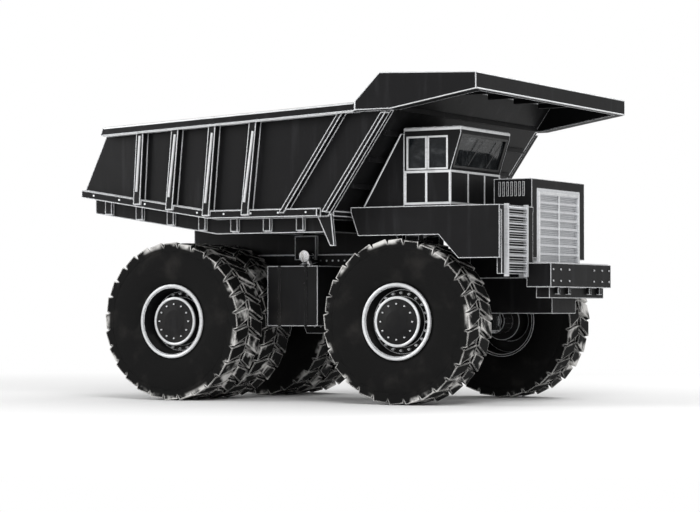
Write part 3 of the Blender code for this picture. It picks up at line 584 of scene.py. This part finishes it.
glass_low, glass_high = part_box("windshield")
LEAN = (glass_high[0] - glass_low[0] - 0.02) / (glass_high[2] - glass_low[2])
bm = bmesh.new()
near = (glass_low[0] + 0.052, glass_low[1] + 0.012, glass_low[2] + 0.012)
far = (glass_low[0] + 0.060, glass_high[1] - 0.012, glass_high[2] - 0.012)
add_frame(bm, near, far, 0, 0.04, 0.006)
middle = (glass_low[1] + glass_high[1]) / 2
for reach in (-0.42, 0.38):
    pivot = Vector((glass_low[0] + 0.075, middle + reach, glass_low[2] + 0.03))
    tip = pivot + Vector((0.004, 0.26, 0.40))
    add_bar(bm, pivot, tip, 0.008)
    add_bar(bm, tip + Vector((0, -0.10, -0.17)), tip + Vector((0, 0.06, 0.08)), 0.010)
shear = Matrix.Identity(4)
shear[0][2] = LEAN
bmesh.ops.translate(bm, vec=(0, 0, -glass_low[2]), verts=bm.verts)
bmesh.ops.transform(bm, matrix=shear, verts=bm.verts)
bmesh.ops.translate(bm, vec=(0, 0, glass_low[2]), verts=bm.verts)
settle("windshield_seal_and_wipers", bm, seal_rubber, "chassis", bevel=0.003)
print("seals done, lean", round(LEAN, 3))

# %% Roof sheet and gutters
bm = bmesh.new()
roof = shell_high[2]
sheet_low = (shell_low[0] + 0.01, shell_low[1] + 0.01, roof - 0.002)
add_box(bm, sheet_low, (shell_high[0] - 0.01, shell_high[1] - 0.01, roof + 0.012))
for number in range(5):
    x = shell_low[0] + 0.16 + number * 0.22
    start = (x - 0.03, shell_low[1] + 0.08, roof + 0.010)
    add_box(bm, start, (x + 0.03, shell_high[1] - 0.08, roof + 0.024))
for y in (shell_low[1] - 0.012, shell_high[1] - 0.004):
    add_box(bm, (shell_low[0] + 0.02, y, roof - 0.045), (shell_high[0] - 0.02, y + 0.016, roof - 0.020))
settle("roof_sheet", bm, black_paint, "chassis", bevel=0.004)

# %% Pale strips along the cab's folds
STRIP = 0.045            # width of a strip
SILL_Z, FOOT_Z = 4.44, 3.83
wall, front, brow = shell_low[1], 3.20, 3.42
bm = bmesh.new()
add_box(bm, (shell_low[0], wall - 0.014, roof - 0.055), (brow, wall + 0.004, roof - 0.005))
add_box(bm, (brow - 0.02, wall, roof - 0.055), (brow + 0.012, shell_high[1], roof - 0.005))
for z in (SILL_Z, FOOT_Z):
    add_box(bm, (shell_low[0], wall - 0.012, z), (front + 0.01, wall + 0.004, z + STRIP))
    add_box(bm, (front - 0.004, wall, z), (front + 0.012, shell_high[1], z + STRIP))
for x in (shell_low[0] + 0.01, 2.66, front - 0.035):
    add_box(bm, (x, wall - 0.012, FOOT_Z + STRIP), (x + STRIP, wall + 0.004, SILL_Z))
for y in (wall + 0.72, wall + 1.44, shell_high[1] - 0.05):
    add_box(bm, (front - 0.004, y, FOOT_Z + STRIP), (front + 0.012, y + STRIP, SILL_Z))
settle("cab_strips", bm, worn_and_highlit_trim, "chassis", smooth=False, bevel=0.004)

guard_low, guard_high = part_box("cab_rear_guard")
bm = bmesh.new()
for side_y in (guard_low[1] + 0.02, guard_high[1] - 0.02):
    foot = Vector((guard_low[0] + 0.01, side_y, guard_low[2] + 0.02))
    head = Vector((guard_high[0] - 0.07, side_y, guard_high[2] - 0.01))
    add_bar(bm, foot, head, 0.026, 10)
settle("guard_edge_bars", bm, worn_and_highlit_trim, "chassis")

# %% Door handle and hinges
door_low, door_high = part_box("cab_door")
bm = bmesh.new()
handle = Vector((door_low[0] + 0.10, door_high[1] + 0.035, 4.36))
add_bar(bm, handle, handle + Vector((0.16, 0, 0)), 0.012)
for x in (0.015, 0.145):
    add_bar(bm, handle + Vector((x, -0.036, 0)), handle + Vector((x, 0, 0)), 0.010)
for z in (4.15, 4.85):
    pin = Vector((door_high[0] - 0.004, door_high[1] + 0.014, z))
    add_bar(bm, pin, pin + Vector((0, 0, 0.12)), 0.013)
settle("door_handle_and_hinges", bm, pale_steel, "cab_door")
print("cab fittings done")

# %% [markdown]
# ## Seat
# Through the glass one sees a padded seat. The cushions are crowned boxes: a cube is cut
# into a grid, its faces are pushed out most in the middle, and it is smoothed by subdivision.

# %% The operator's seat
seat_low, seat_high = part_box("operator_seat")


def cushion(name, low, high, tilt):
    """A crowned pad between two corners, leaned back by tilt radians."""
    bm = bmesh.new()
    add_box(bm, low, high)
    bmesh.ops.subdivide_edges(bm, edges=bm.edges[:], cuts=5, use_grid_fill=True)
    centre = (Vector(low) + Vector(high)) / 2
    half = (Vector(high) - Vector(low)) / 2
    for corner in bm.verts:
        share = [(corner.co[axis] - centre[axis]) / half[axis] for axis in range(3)]
        for axis in range(3):
            others = [share[other] for other in range(3) if other != axis]
            crown = (1 - others[0] ** 2) * (1 - others[1] ** 2)
            corner.co[axis] += share[axis] * crown * 0.018 - share[axis] * 0.018
    hinge = Matrix.Translation((low[0], 0, low[2]))
    leaned = hinge @ Matrix.Rotation(tilt, 4, "Y") @ hinge.inverted()
    bmesh.ops.transform(bm, matrix=leaned, verts=bm.verts)
    made = settle(name, bm, seat_cloth, "chassis")
    smooth = made.modifiers.new("smooth", "SUBSURF")
    smooth.levels = smooth.render_levels = 1
    return made


width = (seat_low[1] + 0.01, seat_high[1] - 0.01)
pad_low = (seat_low[0] + 0.10, width[0], seat_low[2] + 0.31)
pad_high = (seat_high[0], width[1], seat_low[2] + 0.44)
cushion("seat_cushion", pad_low, pad_high, 0.0)
back_low = (seat_low[0] + 0.07, width[0] + 0.02, seat_low[2] + 0.45)
back_high = (seat_low[0] + 0.17, width[1] - 0.02, seat_high[2] - 0.01)
cushion("seat_back", back_low, back_high, -0.10)
bm = bmesh.new()
middle = (width[0] + width[1]) / 2
plate_low = (seat_low[0] + 0.12, middle - 0.18, seat_low[2])
add_box(bm, plate_low, (seat_high[0] - 0.10, middle + 0.18, seat_low[2] + 0.05))
for number in range(5):
    z = seat_low[2] + 0.05 + number * 0.05
    grow = 0.02 if number % 2 else 0.0
    fold_low = (seat_low[0] + 0.16 - grow, middle - 0.14 - grow, z)
    add_box(bm, fold_low, (seat_high[0] - 0.16 + grow, middle + 0.14 + grow, z + 0.05))
base = settle("seat_bellows", bm, seal_rubber, "chassis", bevel=0.008)
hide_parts("operator_seat")
print("seat done")

# %% [markdown]
# ## Dump body
# The body is folded plate. What shows up close is at its edges: a rolled bar along the top rail, a
# rub bar down each rib, and a stiffened lip on the canopy. These bars are pale, partly worn bright and
# partly a painted highlight along the edges.

# %% Rolled top rail and rub bars on the ribs
RIBS = [
    # x at the top, x at the foot
    (-3.31, -3.39), (-2.47, -2.62), (-1.60, -1.76), (-0.66, -0.86),
]
RIB_FACE = 3.48
KINK_X = -1.74           # behind this the floor rises towards the tail
for label, side in SIDES.items():
    low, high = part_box("bed_side_" + label)
    outer = high[1] if side > 0 else low[1]
    bm = bmesh.new()
    rear = Vector((-4.15, outer - side * 0.02, 5.475))
    front = Vector((1.60, outer - side * 0.02, 5.742))
    add_bar(bm, rear, front, 0.026, 10)
    drop = Vector((0, 0, -0.155))
    add_bar(bm, rear + drop, front + drop, 0.014, 8)
    settle("top_rail_bar_" + label, bm, worn_and_highlit_trim, "dump_body")
    bm = bmesh.new()
    face = side * RIB_FACE
    for top, foot in RIBS:
        low_end = (foot, face, 3.92 + max(0.0, KINK_X - foot) * 0.16)
        add_bar(bm, low_end, (top, face, 5.30), 0.026, 8)
    for number in range(9):
        x = -4.45 + number * 0.62
        z = 3.70 + max(0.0, KINK_X - x) * 0.159
        add_bar(bm, (x, side * 3.435, z), (x, side * 3.456, z), 0.020, 6)
    settle("rib_strips_" + label, bm, worn_and_highlit_trim, "dump_body")

# %% The canopy's lip and ribs, and the headboard's stiffeners
lip_low, lip_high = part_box("bed_canopy")
crest = (2.17, 6.298)    # x and z of the fold at the canopy's top
bm = bmesh.new()
front_x = lip_high[0] - 0.004
for z in (5.925, 6.215):
    add_bar(bm, (front_x, lip_low[1] + 0.02, z), (front_x, lip_high[1] - 0.02, z), 0.014, 8)
for side in SIDES.values():
    edge = side * (lip_high[1] - 0.006)
    add_bar(bm, (crest[0], edge, crest[1]), (lip_high[0] - 0.02, edge, 6.220), 0.012, 8)
    add_bar(bm, (2.44, edge, 5.622), (lip_high[0] - 0.02, edge, 5.918), 0.012, 8)
    add_bar(bm, (1.66, edge, 5.80), (crest[0], edge, crest[1]), 0.012, 8)
settle("canopy_edge_bars", bm, worn_and_highlit_trim, "dump_body")
bm = bmesh.new()
for y in (-2.4, -1.2, 0.0, 1.2, 2.4):
    add_box(bm, (2.75, y - 0.06, 6.03), (4.11, y + 0.06, 6.152))
settle("canopy_ribs", bm, plain_black, "dump_body", smooth=False, bevel=0.01)
HEAD_FOOT, HEAD_T = 0.85, 0.14
FLOOR_Z = 3.72
bm = bmesh.new()
for z in (4.2, 4.7, 5.2, 5.65):
    x = HEAD_FOOT + (z - FLOOR_Z) * 1.29 / 1.86 + HEAD_T
    add_box(bm, (x - 0.01, -3.1, z - 0.05), (x + 0.05, 3.1, z + 0.05))
settle("headboard_stiffeners", bm, plain_black, "dump_body", smooth=False, bevel=0.008)
print("body trim done")

# %% [markdown]
# ## Frame and tanks
# Tanks are held by steel straps, and the frame's rails carry rows of bolts.

# %% Tank straps, caps and rail bolts
for name in ("fuel_tank", "hydraulic_tank"):
    low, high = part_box(name)
    inner = 0.95
    near, far = (inner, high[1]) if high[1] > 0 else (low[1], -inner)
    bm = bmesh.new()
    for x in (low[0] + 0.25, high[0] - 0.30):
        add_box(bm, (x, near - 0.008, low[2] - 0.008), (x + 0.06, far + 0.008, low[2] + 0.004))
        add_box(bm, (x, near - 0.008, high[2] - 0.004), (x + 0.06, far + 0.008, high[2] + 0.008))
        for wall in (near, far):
            add_box(bm, (x, wall - 0.008, low[2]), (x + 0.06, wall + 0.008, high[2]))
    settle(name + "_straps", bm, plain_black, "chassis", smooth=False)
    bm = bmesh.new()
    cap = Vector(((low[0] + high[0]) / 2, (near + far) / 2, high[2]))
    add_bar(bm, cap - Vector((0, 0, 0.004)), cap + Vector((0, 0, 0.05)), 0.09, 20)
    add_bar(bm, cap, cap + Vector((0, 0, 0.075)), 0.045, 12)
    settle(name + "_cap", bm, black_paint, "chassis", bevel=0.006)

bm = bmesh.new()
for side in SIDES.values():
    for number in range(16):
        x = -0.95 + number * 0.14
        for z in (1.48, 2.83):
            if z < 2.0 or x < 0.9:
                add_bar(bm, (x, side * 0.557, z), (x, side * 0.578, z), 0.018, 6)
settle("frame_bolts", bm, pale_steel, "chassis")
print("frame trim done")

# %% [markdown]
# ## Floor, light and camera
# The truck stands on a white floor that fades into a white world, lit by three wide soft lamps.
# The camera stands far off at about a person's height, so that verticals stay upright.

# %% The stage
floor = bmesh.new()
bmesh.ops.create_grid(floor, x_segments=1, y_segments=1, size=160.0)
floor_mesh = bpy.data.meshes.new("floor")
floor.to_mesh(floor_mesh)
floor.free()
floor_object = bpy.data.objects.new("floor", floor_mesh)
bpy.context.scene.collection.objects.link(floor_object)
floor_paint = Finish("floor_paint", Metallic=0.0, Roughness=0.9)
floor_paint.shader.inputs["Base Color"].default_value = (0.93, 0.93, 0.93, 1.0)
reach = floor_paint.node(
    "ShaderNodeVectorMath", {"operation": "LENGTH"}, {0: floor_paint.place}, "Value",
)
white = floor_paint.node("ShaderNodeEmission", {}, {"Color": (1, 1, 1, 1), "Strength": 1.0})
faded = floor_paint.node(
    "ShaderNodeMixShader", {},
    {0: reach.above(7.0, 24.0), 1: Wire(floor_paint, floor_paint.shader.outputs[0]), 2: white},
)
floor_paint.tree.links.new(faded.socket, floor_paint.tree.nodes["Material Output"].inputs["Surface"])
floor_mesh.materials.append(floor_paint.material)

world = bpy.data.worlds.new("studio")
bpy.context.scene.world = world
world.use_nodes = True
tree = world.node_tree
background = tree.nodes["Background"]
light_path = tree.nodes.new("ShaderNodeLightPath")
strength = tree.nodes.new("ShaderNodeMapRange")
strength.inputs["To Min"].default_value = 0.62
strength.inputs["To Max"].default_value = 1.0
tree.links.new(light_path.outputs["Is Camera Ray"], strength.inputs["Value"])
tree.links.new(strength.outputs["Result"], background.inputs["Strength"])
background.inputs["Color"].default_value = (1, 1, 1, 1)


def lamp(name, place, aim, size, watts):
    """A wide soft lamp at place, turned towards aim."""
    data = bpy.data.lights.new(name, "AREA")
    data.size = size
    data.energy = watts
    made = bpy.data.objects.new(name, data)
    made.location = place
    made.rotation_euler = (Vector(aim) - Vector(place)).to_track_quat("-Z", "Y").to_euler()
    bpy.context.scene.collection.objects.link(made)


TRUCK_MIDDLE = (0, 0, 2.6)
lamp("key", (14, -20, 16), TRUCK_MIDDLE, 12, 3800)
lamp("side", (-16, -16, 9), TRUCK_MIDDLE, 10, 1500)
lamp("rim", (4, 20, 18), TRUCK_MIDDLE, 12, 2200)

# %% The camera
CAMERA_PLACE = Vector((23.63, -43.07, 1.80))
HEADING = radians(28.0)
FOCAL = 2388.75          # focal length in widths of the image times 700
ASIDE, LIFT = -50.0, 55.0
forward = Vector((-sin(HEADING), cos(HEADING), 0))
rightward = Vector((cos(HEADING), sin(HEADING), 0))
look = forward * FOCAL + rightward * ASIDE + Vector((0, 0, LIFT))
camera_data = bpy.data.cameras.new("camera")
camera_data.sensor_width = 36.0
camera_data.lens = FOCAL / 700 * 36.0
camera_data.clip_end = 400.0
camera = bpy.data.objects.new("camera", camera_data)
camera.location = CAMERA_PLACE
camera.rotation_euler = look.to_track_quat("-Z", "Y").to_euler()
bpy.context.scene.collection.objects.link(camera)
bpy.context.scene.camera = camera
bpy.context.scene.view_settings.view_transform = "Standard"
print("camera lens", round(camera_data.lens, 2))
